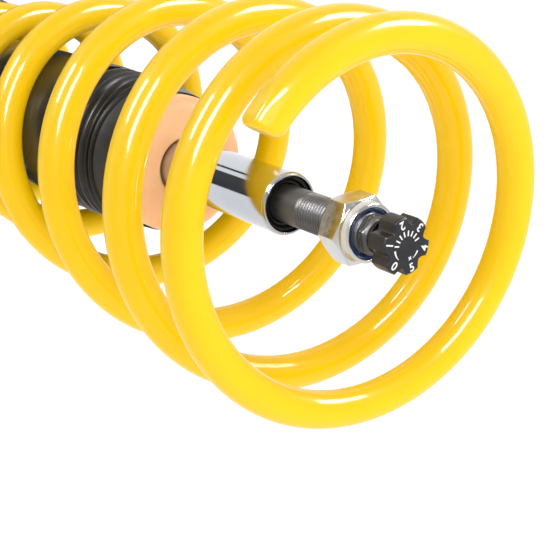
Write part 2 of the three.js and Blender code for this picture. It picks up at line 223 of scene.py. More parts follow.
def extruded(name, outline, low, high):
    """A flat outline of (x, y) points raised between two heights."""
    count = len(outline)
    points = [(x, y, low) for x, y in outline] + [(x, y, high) for x, y in outline]
    faces = [tuple(reversed(range(count))), tuple(range(count, 2 * count))]
    for i in range(count):
        j = (i + 1) % count
        faces.append((i, j, count + j, count + i))
    return cleaned(new_object(name, points, faces))


def arc(centre, radius, start, end, steps=24):
    """Points (x, y) on an arc, angles in degrees."""
    points = []
    for i in range(steps + 1):
        angle = math.radians(start) + math.radians(end - start) * i / steps
        points.append((centre[0] + radius * math.cos(angle), centre[1] + radius * math.sin(angle)))
    return points


def drill(radius, length, centre, axis="Y"):
    """A round cutting tool along an axis, centred on a point."""
    half = length / 2
    tool = revolved("drill", [(0, -half), (radius, -half), (radius, half), (0, half)], 48)
    turn = Matrix.Rotation(math.pi / 2, 4, "X" if axis == "Y" else "Y")
    tool.data.transform(Matrix.Translation(Vector(centre) * MM) @ turn)
    return tool


def block(low, high, turn=0):
    """A square cutting tool, turned about the Z axis."""
    tool = extruded("block", [(low[0], low[1]), (high[0], low[1]), (high[0], high[1]), (low[0], high[1])],
                    low[2], high[2])
    tool.data.transform(Matrix.Rotation(turn, 4, "Z"))
    return tool


def ring_faces(rings, sides):
    """Faces between neighbouring rings of points, each ring with the same number of sides."""
    faces = []
    for i in range(rings - 1):
        for k in range(sides):
            j = (k + 1) % sides
            faces.append((i * sides + k, i * sides + j, (i + 1) * sides + j, (i + 1) * sides + k))
    return faces


def swept(name, centres, radii, sides):
    """A round tube through centres, its frame kept upright about Z."""
    points = []
    last = len(centres) - 1
    for i, centre in enumerate(centres):
        along = (centres[min(i + 1, last)] - centres[max(i - 1, 0)]).normalized()
        across = along.cross(Vector((0, 0, 1))).normalized()
        up = across.cross(along)
        for k in range(sides):
            angle = TURN * k / sides
            points.append(centre + (across * math.cos(angle) + up * math.sin(angle)) * radii[i])
    return cleaned(new_object(name, points, ring_faces(len(centres), sides)))


# ---- finishes ----

def principled(name, colour, roughness, metallic=0.0, **sockets):
    material = bpy.data.materials.new(name)
    material.use_nodes = True
    shader = material.node_tree.nodes["Principled BSDF"]
    shader.inputs["Base Color"].default_value = (*colour, 1)
    shader.inputs["Roughness"].default_value = roughness
    shader.inputs["Metallic"].default_value = metallic
    for socket, value in sockets.items():
        shader.inputs[socket.replace("_", " ")].default_value = value
    return material


def grain(material, size, stretch=(1, 1, 1), detail=3):
    """Noise in object space whose features are about size mm, longer where stretch is small."""
    nodes = material.node_tree.nodes
    links = material.node_tree.links
    coordinates = nodes.new("ShaderNodeTexCoord")
    mapping = nodes.new("ShaderNodeMapping")
    mapping.inputs["Scale"].default_value = stretch
    noise = nodes.new("ShaderNodeTexNoise")
    noise.inputs["Scale"].default_value = 1 / (size * MM)
    noise.inputs["Detail"].default_value = detail
    links.new(coordinates.outputs["Object"], mapping.inputs["Vector"])
    links.new(mapping.outputs["Vector"], noise.inputs["Vector"])
    return noise.outputs["Fac"]


def worn(material, radius):
    """How much the surface turns within radius mm: near 0 on flats, higher along edges."""
    nodes = material.node_tree.nodes
    links = material.node_tree.links
    rounded = nodes.new("ShaderNodeBevel")
    rounded.samples = 4
    rounded.inputs["Radius"].default_value = radius * MM
    flat = nodes.new("ShaderNodeNewGeometry")
    compare = nodes.new("ShaderNodeVectorMath")
    compare.operation = "DISTANCE"
    links.new(rounded.outputs["Normal"], compare.inputs[0])
    links.new(flat.outputs["Normal"], compare.inputs[1])
    return compare.outputs["Value"]


def tinted(material, factor, *stops):
    """Base colour from a factor through (position, colour) stops."""
    ramp = material.node_tree.nodes.new("ShaderNodeValToRGB")
    elements = ramp.color_ramp.elements
    while len(elements) < len(stops):
        elements.new(0.5)
    for element, (position, colour) in zip(elements, stops):
        element.position = position
        element.color = (*colour, 1)
    links = material.node_tree.links
    links.new(factor, ramp.inputs["Fac"])
    links.new(ramp.outputs["Color"], material.node_tree.nodes["Principled BSDF"].inputs["Base Color"])


def roughened(material, factor, smooth, rough):
    """Roughness between two values, following a factor."""
    scale = material.node_tree.nodes.new("ShaderNodeMapRange")
    scale.inputs["From Min"].default_value = 0.3
    scale.inputs["From Max"].default_value = 0.7
    scale.inputs["To Min"].default_value = smooth
    scale.inputs["To Max"].default_value = rough
    links = material.node_tree.links
    links.new(factor, scale.inputs["Value"])
    links.new(scale.outputs["Result"], material.node_tree.nodes["Principled BSDF"].inputs["Roughness"])


def bumped(material, factor, height):
    """Surface relief of a height in mm, added to any relief that is there already."""
    shader = material.node_tree.nodes["Principled BSDF"]
    links = material.node_tree.links
    bump = material.node_tree.nodes.new("ShaderNodeBump")
    bump.inputs["Distance"].default_value = height * MM
    earlier = shader.inputs["Normal"].links
    if earlier:
        links.new(earlier[0].from_socket, bump.inputs["Normal"])
    links.new(factor, bump.inputs["Height"])
    links.new(bump.outputs["Normal"], shader.inputs["Normal"])
    if shader.inputs["Coat Weight"].default_value:
        links.new(bump.outputs["Normal"], shader.inputs["Coat Normal"])


def powder_coat():
    paint = principled("yellow_powder_coat", (0.93, 0.59, 0.001), 0.32, Specular_IOR_Level=0.12,
                       Coat_Weight=0.45, Coat_Roughness=0.03)
    tinted(paint, grain(paint, 11), (0.3, (0.93, 0.58, 0.0005)), (0.7, (0.94, 0.605, 0.001)))
    roughened(paint, grain(paint, 2.5), 0.28, 0.36)
    bumped(paint, grain(paint, 3.5, detail=1), 0.02)
    return paint


def chrome():
    metal = principled("hard_chrome", (0.51, 0.53, 0.57), 0.07, 1.0)
    tinted(metal, grain(metal, 14), (0.3, (0.49, 0.51, 0.55)), (0.7, (0.54, 0.55, 0.58)))
    roughened(metal, grain(metal, 6, (0.6, 0.6, 40)), 0.045, 0.1)
    bumped(metal, grain(metal, 5, (0.5, 0.5, 60), 2), 0.0012)
    return metal


def phosphate():
    metal = principled("black_phosphate", (0.07, 0.07, 0.075), 0.4, 0.75)
    tinted(metal, worn(metal, 0.25), (0.0, (0.09, 0.09, 0.092)), (0.35, (0.15, 0.15, 0.152)),
           (0.8, (0.32, 0.32, 0.31)))
    roughened(metal, grain(metal, 0.8), 0.3, 0.5)
    bumped(metal, grain(metal, 0.35), 0.012)
    return metal


def gloss_black(name, colour, roughness):
    plastic = principled(name, colour, roughness, Specular_IOR_Level=0.15, Coat_Weight=0.12,
                         Coat_Roughness=0.05)
    tinted(plastic, grain(plastic, 5), (0.3, colour), (0.75, tuple(c * 1.7 + 0.002 for c in colour)))
    roughened(plastic, grain(plastic, 1.5), roughness * 0.8, roughness * 1.4)
    bumped(plastic, grain(plastic, 1.8, detail=1), 0.01)
    return plastic


def satin_black(name, colour, roughness, size, height):
    plastic = principled(name, colour, roughness, Specular_IOR_Level=0.35)
    tinted(plastic, grain(plastic, 4), (0.3, colour), (0.75, tuple(c * 1.5 + 0.002 for c in colour)))
    roughened(plastic, grain(plastic, 2), roughness * 0.85, roughness * 1.15)
    bumped(plastic, grain(plastic, size), height)
    return plastic


def zinc():
    metal = principled("bright_zinc", (0.57, 0.58, 0.58), 0.2, 1.0)
    tinted(metal, grain(metal, 8, detail=1), (0.25, (0.52, 0.55, 0.6)), (0.5, (0.59, 0.6, 0.6)),
           (0.7, (0.61, 0.6, 0.53)), (0.85, (0.57, 0.54, 0.59)))
    roughened(metal, grain(metal, 1.6, detail=1), 0.13, 0.24)
    bumped(metal, grain(metal, 0.9), 0.003)
    return metal


def nylon():
    plastic = principled("blue_nylon", (0.022, 0.04, 0.16), 0.42, Subsurface_Weight=0.15,
                         Subsurface_Scale=0.001)
    tinted(plastic, grain(plastic, 2), (0.3, (0.016, 0.03, 0.12)), (0.7, (0.03, 0.055, 0.21)))
    bumped(plastic, grain(plastic, 0.5), 0.01)
    return plastic


def machined(name, colour, roughness, streak):
    """Turned metal: fine marks round the part, brighter along worn edges."""
    metal = principled(name, colour, roughness, 1.0)
    tinted(metal, worn(metal, 0.35), (0.0, colour), (0.7, tuple(min(1, c * 1.6 + 0.08) for c in colour)))
    roughened(metal, grain(metal, 3, streak), roughness * 0.75, roughness * 1.35)
    bumped(metal, grain(metal, 4, streak, 2), 0.006)
    return metal


def foam():
    stop = principled("bump_stop_foam", (0.93, 0.54, 0.29), 0.62, Sheen_Weight=0.12, Sheen_Roughness=0.4,
                      Subsurface_Weight=0.35, Subsurface_Scale=0.004, Subsurface_Radius=(1.0, 0.45, 0.2))
    tinted(stop, grain(stop, 7), (0.3, (0.92, 0.52, 0.27)), (0.7, (0.96, 0.58, 0.32)))
    bumped(stop, grain(stop, 6, detail=2), 0.15)
    bumped(stop, grain(stop, 0.45), 0.02)
    return stop


def anodised():
    metal = principled("black_anodised", (0.03, 0.031, 0.034), 0.34, 0.85)
    tinted(metal, worn(metal, 0.3), (0.0, (0.028, 0.029, 0.032)), (0.45, (0.05, 0.05, 0.055)),
           (0.9, (0.42, 0.42, 0.43)))
    roughened(metal, grain(metal, 4, (0.4, 0.4, 30)), 0.26, 0.42)
    bumped(metal, grain(metal, 5, (0.3, 0.3, 40), 2), 0.006)
    return metal


def plated_steel():
    metal = principled("plated_steel", (0.62, 0.63, 0.64), 0.3, 1.0)
    tinted(metal, grain(metal, 16, detail=4), (0.3, (0.5, 0.52, 0.55)), (0.5, (0.64, 0.65, 0.66)),
           (0.72, (0.72, 0.71, 0.67)))
    roughened(metal, grain(metal, 3), 0.24, 0.4)
    bumped(metal, grain(metal, 1.2), 0.012)
    return metal


def white_print():
    ink = principled("white_print", (0.86, 0.86, 0.84), 0.5)
    tinted(ink, grain(ink, 0.8), (0.3, (0.8, 0.8, 0.79)), (0.7, (0.9, 0.9, 0.88)))
    bumped(ink, grain(ink, 0.3), 0.006)
    return ink


ROUND_MARKS = (0.4, 0.4, 25)  # stretch of turning marks: fine along Z, long round it

FINISHES = {
    "spring_powder_coat": powder_coat(),
    "rod_chrome": chrome(),
    "black_oxide_steel": phosphate(),
    "seat_ring_black": gloss_black("gloss_black_ring", (0.006, 0.006, 0.007), 0.12),
    "zinc_plate": zinc(),
    "blue_nylon": nylon(),
    "knob_plastic": satin_black("knob_moulding", (0.012, 0.012, 0.014), 0.36, 0.4, 0.008),
    "ground_steel": machined("ground_steel", (0.52, 0.53, 0.55), 0.22, ROUND_MARKS),
    "seal_rubber": satin_black("seal_rubber", (0.014, 0.014, 0.016), 0.55, 0.6, 0.02),
    "boot_rubber": satin_black("boot_rubber", (0.008, 0.0085, 0.01), 0.33, 0.7, 0.008),
    "bump_foam": foam(),
    "sintered_bronze": machined("sintered_bronze", (0.5, 0.33, 0.14), 0.42, (1, 1, 1)),
    "white_plastic": white_print(),
    "sleeve_plastic": gloss_black("gloss_sleeve", (0.012, 0.01, 0.007), 0.14),
    "housing_steel": plated_steel(),
    "anodised_black": anodised(),
    "pad_plastic": satin_black("slip_pad", (0.02, 0.02, 0.021), 0.48, 0.8, 0.02),
}


def finish_cad_nodes():
    """Each CAD node that stays in sight takes the detailed finish of its own slot."""
    for entry in frame["record"]["subparts"]:
        for holder in frame["nodes"][entry["node"]].material_slots:
            holder.material = FINISHES[entry["material_slot"]]


def place(shape, slot, *nodes, body=None):
    """Gives a piece its finish and body, and lets it stand for CAD nodes."""
    shape.data.materials.clear()
    shape.data.materials.append(FINISHES[slot])
    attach(shape, body or frame["nodes"][nodes[0]]["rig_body"])
    if nodes:
        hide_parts(*nodes)
    return shape


# ---- coil spring ----

WIRE = 11.5
SPRING_TURNS = 7.5
END_PITCH = 14.3  # rise for one turn at the upper end
BODY_PITCH = 52  # rise for one turn along the open body
PITCH_RAMP = 2.65  # turns over which the pitch opens
CLOSING_START = 5.75  # turn at which the lower coils start to close
CLOSING_TURNS = 1.0
CLOSED_PITCH = 12
START_TURN = -0.005  # the upper end reaches back a little past turn 0
WIRE_SIDES = 40
RINGS_PER_TURN = 110
TIP_RINGS = 6  # steps of the rounding at a cut end
SPRING_START_ANGLE = 154.8
RADIUS_STOPS = [(0, 56.2), (1.2, 56), (2.2, 54.6), (3.2, 51.4), (4.2, 45), (6, 36.3)]  # (turn, radius)
SPRING_LEAN = (0.6, 1.6)  # how far the upper end stands off the strut's axis
SPRING_TILT = 0.0127  # slope by which the free coils lean, about a point
TILT_PIVOT = TOP - 60  # at this height
TILT_START = TOP - 255  # the seated coils below this stand straight
TILT_RISE = 60  # height over which the coils above them take up the tilt
TIP_ROUND = 2.1  # radius of the paint round the wire's cut ends
TIP_SHEAR = -0.2  # slope of the sheared end face
TIP_LENGTH = 16  # stretch behind the tip that has closer rings
TIP_STEP = 0.8  # and their distance
CHISEL_LENGTH = 12  # how far the hammered facets reach back from the tip
CHISELS = [(-4, 0.19), (56, 0.1)]  # each facet's direction round the wire and its depth


def coil_radius(turn):
    """Mean coil radius: a smooth curve through the stops."""
    last = len(RADIUS_STOPS) - 1
    if turn >= RADIUS_STOPS[last][0]:
        return RADIUS_STOPS[last][1]

    def slope(k):
        if k in (0, last):
            return 0
        (t0, r0), (t1, r1) = RADIUS_STOPS[k - 1], RADIUS_STOPS[k + 1]
        return (r1 - r0) / (t1 - t0)

    i = max(k for k in range(last) if RADIUS_STOPS[k][0] <= max(turn, 0))
    (t0, r0), (t1, r1) = RADIUS_STOPS[i], RADIUS_STOPS[i + 1]
    span = t1 - t0
    u = (turn - t0) / span
    return ((2 * u ** 3 - 3 * u ** 2 + 1) * r0 + (u ** 3 - 2 * u ** 2 + u) * span * slope(i)
            + (3 * u ** 2 - 2 * u ** 3) * r1 + (u ** 3 - u ** 2) * span * slope(i + 1))


def coil_drop(turn):
    """How far the wire has dropped below the upper end after some turns."""
    def ramped(t, start, end, length):
        return start * t + (end - start) * t * t / (2 * length)

    upper = min(turn, PITCH_RAMP)
    middle = min(max(turn - PITCH_RAMP, 0), CLOSING_START - PITCH_RAMP)
    closing = min(max(turn - CLOSING_START, 0), CLOSING_TURNS)
    closed = max(turn - CLOSING_START - CLOSING_TURNS, 0)
    return (ramped(upper, END_PITCH, BODY_PITCH, PITCH_RAMP) + middle * BODY_PITCH
            + ramped(closing, BODY_PITCH, CLOSED_PITCH, CLOSING_TURNS) + closed * CLOSED_PITCH)


def coil_point(turn):
    angle = math.radians(SPRING_START_ANGLE) - turn * TURN
    z = TOP - coil_drop(turn)
    lean = 1 - coil_drop(turn) / coil_drop(SPRING_TURNS)
    rise = min(1, max(0, (z - TILT_START) / TILT_RISE))
    tilt = SPRING_TILT * rise * rise * (3 - 2 * rise)
    radius = coil_radius(turn)
    across = radius * math.sin(angle)
    return Vector((radius * math.cos(angle) + lean * SPRING_LEAN[0],
                   across + lean * SPRING_LEAN[1] - tilt * (z - TILT_PIVOT), z + tilt * across))


def coil_frame(turn):
    """The wire's direction and two directions across it: outwards, and the third one."""
    nearby = 0.002
    along = (coil_point(turn + nearby) - coil_point(turn - nearby)).normalized()
    angle = math.radians(SPRING_START_ANGLE) - turn * TURN
    outward = Vector((math.cos(angle), math.sin(angle), 0))
    outward = (outward - along * outward.dot(along)).normalized()
    return along, outward, along.cross(outward)


def end_rings():
    """(distance from the cut end, radius) of the rings that round a wire's end."""
    rings = [(0, 0), (0, WIRE / 4)]
    for i in range(TIP_RINGS + 1):
        angle = math.radians(90 - 90 * i / TIP_RINGS)
        rings.append((TIP_ROUND * (1 - math.sin(angle)), WIRE / 2 - TIP_ROUND * (1 - math.cos(angle))))
    return rings


def chiselled(offset, depth):
    """Flattens an offset from the wire's centre where the shear has hammered it."""
    for direction, share in CHISELS:
        facing = Vector((math.cos(math.radians(direction)), math.sin(math.radians(direction))))
        limit = WIRE / 2 * (1 - share * depth)
        excess = offset.dot(facing) - limit
        if excess > 0:
            offset = offset - facing * excess
    return offset


def wire_rings():
    """(turn, radius) of every ring of points along the wire, from its upper end to its lower one."""
    upper = TURN * coil_radius(0)
    lower = TURN * coil_radius(SPRING_TURNS)
    first = START_TURN + TIP_ROUND / upper
    last = SPRING_TURNS - TIP_ROUND / lower
    rings = [(START_TURN + back / upper, radius) for back, radius in end_rings()]
    near = stations(first, START_TURN + TIP_LENGTH / upper, TIP_STEP / upper)[1:]
    rings += [(turn, WIRE / 2) for turn in near]
    rings += [(turn, WIRE / 2) for turn in stations(near[-1], last, 1 / RINGS_PER_TURN)[1:-1]]
    rings += [(SPRING_TURNS - back / lower, radius) for back, radius in reversed(end_rings())]
    return rings


def wire_ring(turn, radius):
    """Points round the wire, with the sheared and hammered marks near its upper end."""
    centre = coil_point(turn)
    along, outward, third = coil_frame(turn)
    behind_tip = (turn - START_TURN) * TURN * coil_radius(0)
    depth = max(0, 1 - behind_tip / CHISEL_LENGTH)
    points = []
    for k in range(WIRE_SIDES):
        angle = TURN * k / WIRE_SIDES
        offset = chiselled(Vector((radius * math.cos(angle), radius * math.sin(angle))), depth)
        shear = TIP_SHEAR * (offset.x + WIRE / 2) * depth
        points.append(centre + outward * offset.x + third * offset.y + along * shear)
    return points


def coil_spring():
    rings = wire_rings()
    points = [point for turn, radius in rings for point in wire_ring(turn, radius)]
    wire = new_object("spring_coil", points, ring_faces(len(rings), WIRE_SIDES))
    spring = place(cleaned(wire, 50), "spring_powder_coat", "coil_spring")
    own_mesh(spring)


# ---- rod, stud, nut and knob ----

def threaded(crest, pitch, depth, low, high, fade=2.0):
    """A shape rule that cuts a right-hand thread into the surface at the crest radius."""
    def shape(radius, z, angle):
        if radius < crest - 0.01:
            return radius, z
        here = max(0, min(1, (z - low) / fade, (high - z) / fade))
        turn = (z / pitch - angle / TURN) % 1
        crestward = min(1, max(0, (abs(2 * turn - 1) - 0.1) / 0.7))
        return radius - depth * (1 - crestward) * here, z
    return shape


def hexagonal(flats, turn, low, high, edge=0.22):
    """A shape rule that trims radii to a hexagon with slightly rounded corners."""
    def shape(radius, z, angle):
        if not low <= z <= high:
            return radius, z
        limit = flats / 2 / math.cos((angle - turn) % (TURN / 6) - TURN / 12)
        blend = max(edge - abs(radius - limit), 0) ** 2 / (4 * edge)
        return min(radius, limit) - blend, z
    return shape


def piston_rod():
    low = heights("piston_rod")[0]
    bore = 4
    spigot = 6  # the thin lower end that carries the piston
    shoulder = low + 24
    recess = 8.9
    recess_floor = ROD_TOP - 4
    thread = STUD + 0.3
    thread_floor = recess_floor - 14
    outline = filleted(
        (bore, low), (spigot, low, 0.5), (spigot, shoulder), (ROD, shoulder, 0.6), (ROD, ROD_TOP - 1.1, 0.35),
        (ROD - 0.5, ROD_TOP, 0.3), (recess, ROD_TOP, 0.25), (recess - 0.2, recess_floor, 0.6),
        (thread, recess_floor, 0.2), (thread, thread_floor), (bore, thread_floor))
    place(evened(revolved("chrome_rod", outline, 160)), "rod_chrome", "piston_rod")


def seat_ring():
    low, high = heights("stud_seat_ring")
    inner = STUD + 0.3
    outer = radius_of("stud_seat_ring")
    dish = high - 1.2
    outline = filleted((inner, low), (outer, low), (outer, high, 0.15), (outer - 0.9, high - 0.3, 0.4),
                       (outer - 1.5, dish, 0.5), (inner, dish, 0.2))
    place(revolved("stud_seat", outline, 128), "seat_ring_black", "stud_seat_ring")


def stud():
    low = heights("threaded_stud")[0]
    bore = 3.6
    key = 7.4  # width across flats of the socket in the upper end
    key_floor = STUD_TOP - 6
    pitch = 1.25
    thread_low = ROD_TOP + 9.5
    thread_high = STUD_TOP - 2.6
    rows = [(STUD, z) for z in stations(thread_low, STUD_TOP - 1.2, pitch / 10)]
    outline = filleted((bore, low), (STUD, low), (STUD, thread_low - 1), *rows, (STUD - 1, STUD_TOP, 0.3),
                       (bore, STUD_TOP, 0.2), (bore, key_floor), (bore - 0.01, key_floor - 0.4))
    cut = threaded(STUD, pitch, 0.72, thread_low, thread_high, 1.4)
    flats = hexagonal(10.6, 0, thread_high + 0.3, STUD_TOP, 0.1)

    def shape(radius, z, angle):
        if radius < bore + 0.25 and z >= key_floor:
            return radius - bore + key / 2 / math.cos(angle % (TURN / 6) - TURN / 12), z
        return flats(*cut(radius, z, angle), angle)

    place(evened(revolved("threaded_top_stud", outline, 144, shape)), "black_oxide_steel", "threaded_stud")


NUT_FLATS = 19  # width across flats
NUT_TURN = math.radians(22)  # angle of one corner of the nut's hexagon


def nut():
    low, high = heights("top_nut")
    height = 8.6  # of the hexagon, without the collar
    shoulder = low + height
    thread = STUD + 0.3
    face = 9.3  # radius of the flat ring inside the corners' chamfer
    blank = 11.2  # radius of the round blank that the flats are cut from
    slope = math.tan(math.radians(30))
    rise = (blank - face) * slope
    lower = [(face + step, low + step * slope) for step in stations(0, blank - face, 0.15)]
    middle = [(blank, z) for z in stations(low + rise, shoulder - rise, 1.2)[1:-1]]
    upper = [(radius, 2 * low + height - z) for radius, z in reversed(lower)]
    seat = high - 3.5  # the nylon ring lies on it
    collar = filleted((9.15, shoulder), (9.15, shoulder + 0.9, 0.5), (8.75, high - 0.2, 0.7),
                      (7.75, high, 0.35), (7.5, high - 0.5, 0.2), (7.5, seat))
    outline = [(thread + 0.7, low)] + lower + middle + upper + collar + [(thread, seat), (thread, low + 0.7)]
    trim = hexagonal(NUT_FLATS, NUT_TURN, low - 0.1, shoulder + 0.01)
    place(evened(revolved("top_nut_body", outline, 288, trim)), "zinc_plate", "top_nut")


def nylon_ring():
    low, high = heights("nylon_insert")
    outer = radius_of("nylon_insert")
    outline = filleted((STUD + 0.3, low), (outer, low), (outer, high, 0.4), (STUD + 1, high, 0.3),
                       (STUD + 0.3, high - 0.7, 0.2))
    place(revolved("nut_nylon_ring", outline, 128), "blue_nylon", "nylon_insert")


KNOB_LOBES = 6
KNOB_TURN = math.radians(4)  # where the middle of one lobe points
MARK_HEIGHT = 0.08  # how far the print stands above the knob's face
ZERO_ANGLE = 244  # degrees at which the 0 is printed, the others following clockwise
NUMBER_CIRCLE = 6.65
NUMBER_SIZE = 3.5
TICKS = 8
FIRST_TICK = 187  # degrees, the others following clockwise
TICK_SPACING = 21
TICK_NEAR = 3.0  # distance from the knob's middle
TICK_LENGTH = 1.6
TICK_HALF_WIDTH = 0.2
PLUS_ANGLE = 303
PLUS_CIRCLE = 3.6
PLUS_SIZE = 2.4


def knob():
    low, face = heights("rebound_knob")
    high = face - MARK_HEIGHT
    radius = 8.5
    hub = 4.2  # radius that the scallops leave untouched
    scallop = 2.0
    socket = 2.8
    socket_top = low + 4.5
    outline = filleted((0, socket_top), (socket, socket_top), (socket, low), (radius - 1.2, low, 0.4),
                       (radius, low + 0.8, 0.5), (radius, high - 0.5, 0.5), (radius - 0.6, high, 0.45),
                       *[(step, high) for step in stations(7, 0, 0.5)])

    def shape(r, z, angle):
        dip = max(0, -math.cos(KNOB_LOBES * (angle - KNOB_TURN))) ** 0.75
        share = min(1, max(0, (r - hub) / (radius - hub)))
        return r - scallop * dip * share, z

    place(evened(revolved("knob_body", outline, 288, shape)), "knob_plastic", "rebound_knob")


def printed(text, size, spot, turn):
    """One character of print lying flat, centred on a spot and turned about Z."""
    curve = bpy.data.curves.new("mark", "FONT")
    curve.body = text
    curve.size = size * MM
    curve.align_x = "CENTER"
    curve.align_y = "CENTER"
    curve.extrude = MARK_HEIGHT / 2 * MM
    curve.offset = 0.05 * MM
    holder = bpy.data.objects.new("mark", curve)
    bpy.context.scene.collection.objects.link(holder)
    graph = bpy.context.evaluated_depsgraph_get()
    mesh = bpy.data.meshes.new_from_object(holder.evaluated_get(graph))
    bpy.data.objects.remove(holder)
    mesh.transform(Matrix.Translation(Vector(spot) * MM) @ Matrix.Rotation(turn, 4, "Z"))
    shape = bpy.data.objects.new("mark", mesh)
    bpy.context.scene.collection.objects.link(shape)
    return shape


def arc_mark(radius, start, end, width, low):
    """A flat printed arc, angles in degrees, narrowing towards its end."""
    outer = []
    inner = []
    steps = 24
    for step in range(steps + 1):
        share = step / steps
        angle = math.radians(start + (end - start) * share)
        half = width / 2 * (1 - 0.75 * share)
        outer.append(((radius + half) * math.cos(angle), (radius + half) * math.sin(angle)))
        inner.append(((radius - half) * math.cos(angle), (radius - half) * math.sin(angle)))
    return extruded("mark", outer + inner[::-1], low, low + MARK_HEIGHT)


def tick_mark(angle, low):
    """A short straight mark that points at the knob's middle, angle in degrees."""
    start = math.radians(angle)
    along = Vector((math.cos(start), math.sin(start)))
    across = Vector((-along.y, along.x)) * TICK_HALF_WIDTH
    near = along * TICK_NEAR
    far = along * (TICK_NEAR + TICK_LENGTH)
    corners = [near - across, far - across, far + across, near + across]
    return extruded("mark", [tuple(corner) for corner in corners], low, low + MARK_HEIGHT)


def joined(name, shapes):
    """One object that holds every shape."""
    with bpy.context.temp_override(active_object=shapes[0], selected_editable_objects=shapes):
        bpy.ops.object.join()
    shapes[0].name = name
    return shapes[0]


def knob_marks():
    """Numbers 0 to 5 round the knob, plain ticks, and two arcs with a plus sign."""
    low = top_of("rebound_knob") - MARK_HEIGHT
    mid = low + MARK_HEIGHT / 2
    marks = []
    for number in range(KNOB_LOBES):
        angle = math.radians(ZERO_ANGLE) - number * TURN / KNOB_LOBES
        spot = (NUMBER_CIRCLE * math.cos(angle), NUMBER_CIRCLE * math.sin(angle), mid)
        marks.append(printed(str(number), NUMBER_SIZE, spot, angle + math.pi / 2))
    for tick in range(TICKS):
        marks.append(tick_mark(FIRST_TICK - TICK_SPACING * tick, low))
    marks.append(arc_mark(4.4, 204, 244, 0.6, low))
    marks.append(arc_mark(4.2, 352, 318, 0.5, low))
    angle = math.radians(PLUS_ANGLE)
    spot = (PLUS_CIRCLE * math.cos(angle), PLUS_CIRCLE * math.sin(angle), mid)
    marks.append(printed("+", PLUS_SIZE, spot, angle - math.pi / 4))
    place(joined("knob_marks", marks), "white_plastic", body="adjuster")


def adjuster_shaft():
    low, high = heights("adjuster_shaft")
    radius = radius_of("adjuster_shaft")
    outline = filleted((0, low), (radius, low, 0.4), (radius, high, 0.3), (0, high))
    place(revolved("knob_shaft", outline, 64), "ground_steel", "adjuster_shaft")


# ---- bump stop, boot and sleeve ----

def uneven(amount, waves):
    """A shape rule for moulded soft parts: a slight slow unevenness in radius."""
    def shape(radius, z, angle):
        ripple = math.sin(waves * angle + z * 0.13) + 0.6 * math.sin((waves + 1) * angle - z * 0.31)
        return radius + amount * ripple * min(1, max(0, (radius - ROD - 1) / 6)), z
    return shape


def bump_stop():
    low, high = heights("bump_stop")
    radius = radius_of("bump_stop") - 0.1
    shoulder = high - 25.5
    bore = ROD + 0.3
    neck = 19
    crown = 12  # radius that rounds the upper edge
    outline = filleted((bore, low), (neck, low, 1), (neck, shoulder), (radius, shoulder, 1.5),
                       (radius, high, crown), (bore, high, 1.6), steps=12)
    stop = place(revolved("bump_stop_foam", outline, 128, uneven(0.08, 2)), "bump_foam", "bump_stop")


BOOT_LEAN = math.tan(math.radians(20))  # slope of the ribs towards the +X side


def boot():
    """A bellows whose ribs lean to one side, with a smooth dome that grips the bump stop."""
    low, high = heights("dust_boot")
    radius = radius_of("dust_boot") - 0.1
    collar = 24.6  # radius of the plain lower end
    wall = 2.2
    lip = 24.4  # the bump stop's head sits in it
    neck = 19.3  # and its neck in this
    shelf = high - 15.3  # height at which the head rests
    ribs = 5
    pitch = 6.4
    depth = 2.6
    flare = 1.0  # how much wider the lowest rib is than the highest
    dome = high - 12
    first = dome - ribs * pitch
    ribbed = []
    for z in stations(first, dome, pitch / 20):
        swell = 0.5 - 0.5 * math.cos(TURN * (z - first) / pitch)
        crest = radius + flare * (dome - z) / (dome - first)
        ribbed.append((crest - depth * (1 - swell ** 0.55), z))
    outer = ([(collar - 0.2, low), (collar, low + 0.6)]
             + [(collar, z) for z in stations(low + 2, first - 1, 2)] + ribbed)
    smooth = filleted((radius - depth, dome), (radius - 0.6, dome + 2, 1.5), (lip + 0.7, dome + 7, 40),
                      (lip + 0.3, high, 0.4), (lip, high, 0.1), (lip, shelf), (neck, shelf),
                      (neck, high - 18), (collar - wall, high - 20), steps=8)[1:]
    inner = [(collar - wall, z) for z in stations(high - 22, low, 2)]
    settle = uneven(0.1, 2)

    def shape(r, z, angle):
        r, z = settle(r, z, angle)
        rise = min(1, max(0, (z - first + 4) / 10))
        fall = min(1, max(0, (dome + 3 - z) / 16))
        return r, z - r * math.cos(angle) * BOOT_LEAN * rise * fall

    place(revolved("dust_boot_bellows", outer + smooth + inner, 128, shape), "boot_rubber", "dust_boot")


def sleeve():
    low, high = heights("dust_sleeve")
    high -= 1.5  # clear of the boot's slanting ribs
    radius = radius_of("dust_sleeve") - 1
    inner = TUBE + 0.3
    outline = filleted((inner, low), (radius, low, 0.5), (radius, high, 0.8), (inner, high, 0.3))
    place(evened(revolved("gloss_dust_sleeve", outline, 160)), "sleeve_plastic", "dust_sleeve")


# ---- damper housing ----

TUBE_THREAD_PITCH = 2
TUBE_THREAD = (120, 264)  # lowest and highest thread, leaving the perch its full travel
TUBE_BORE = 22
PLUG = TUBE_BORE - 0.3  # radius of what fits in the tube's ends


def strut_tube():
    low, high = heights("strut_tube")
    start, end = TUBE_THREAD
    rows = [(TUBE, z) for z in stations(start, end, TUBE_THREAD_PITCH / 8)]
    outline = filleted((TUBE_BORE, low), (TUBE, low, 0.4), (TUBE, start - 1.5), *rows, (TUBE, end + 1.5),
                       (TUBE, high, 0.6), (TUBE_BORE, high, 0.3))
    cut = threaded(TUBE, TUBE_THREAD_PITCH, 0.95, start, end, 2.4)
    place(evened(revolved("threaded_strut_tube", outline, 144, cut)), "housing_steel", "strut_tube")


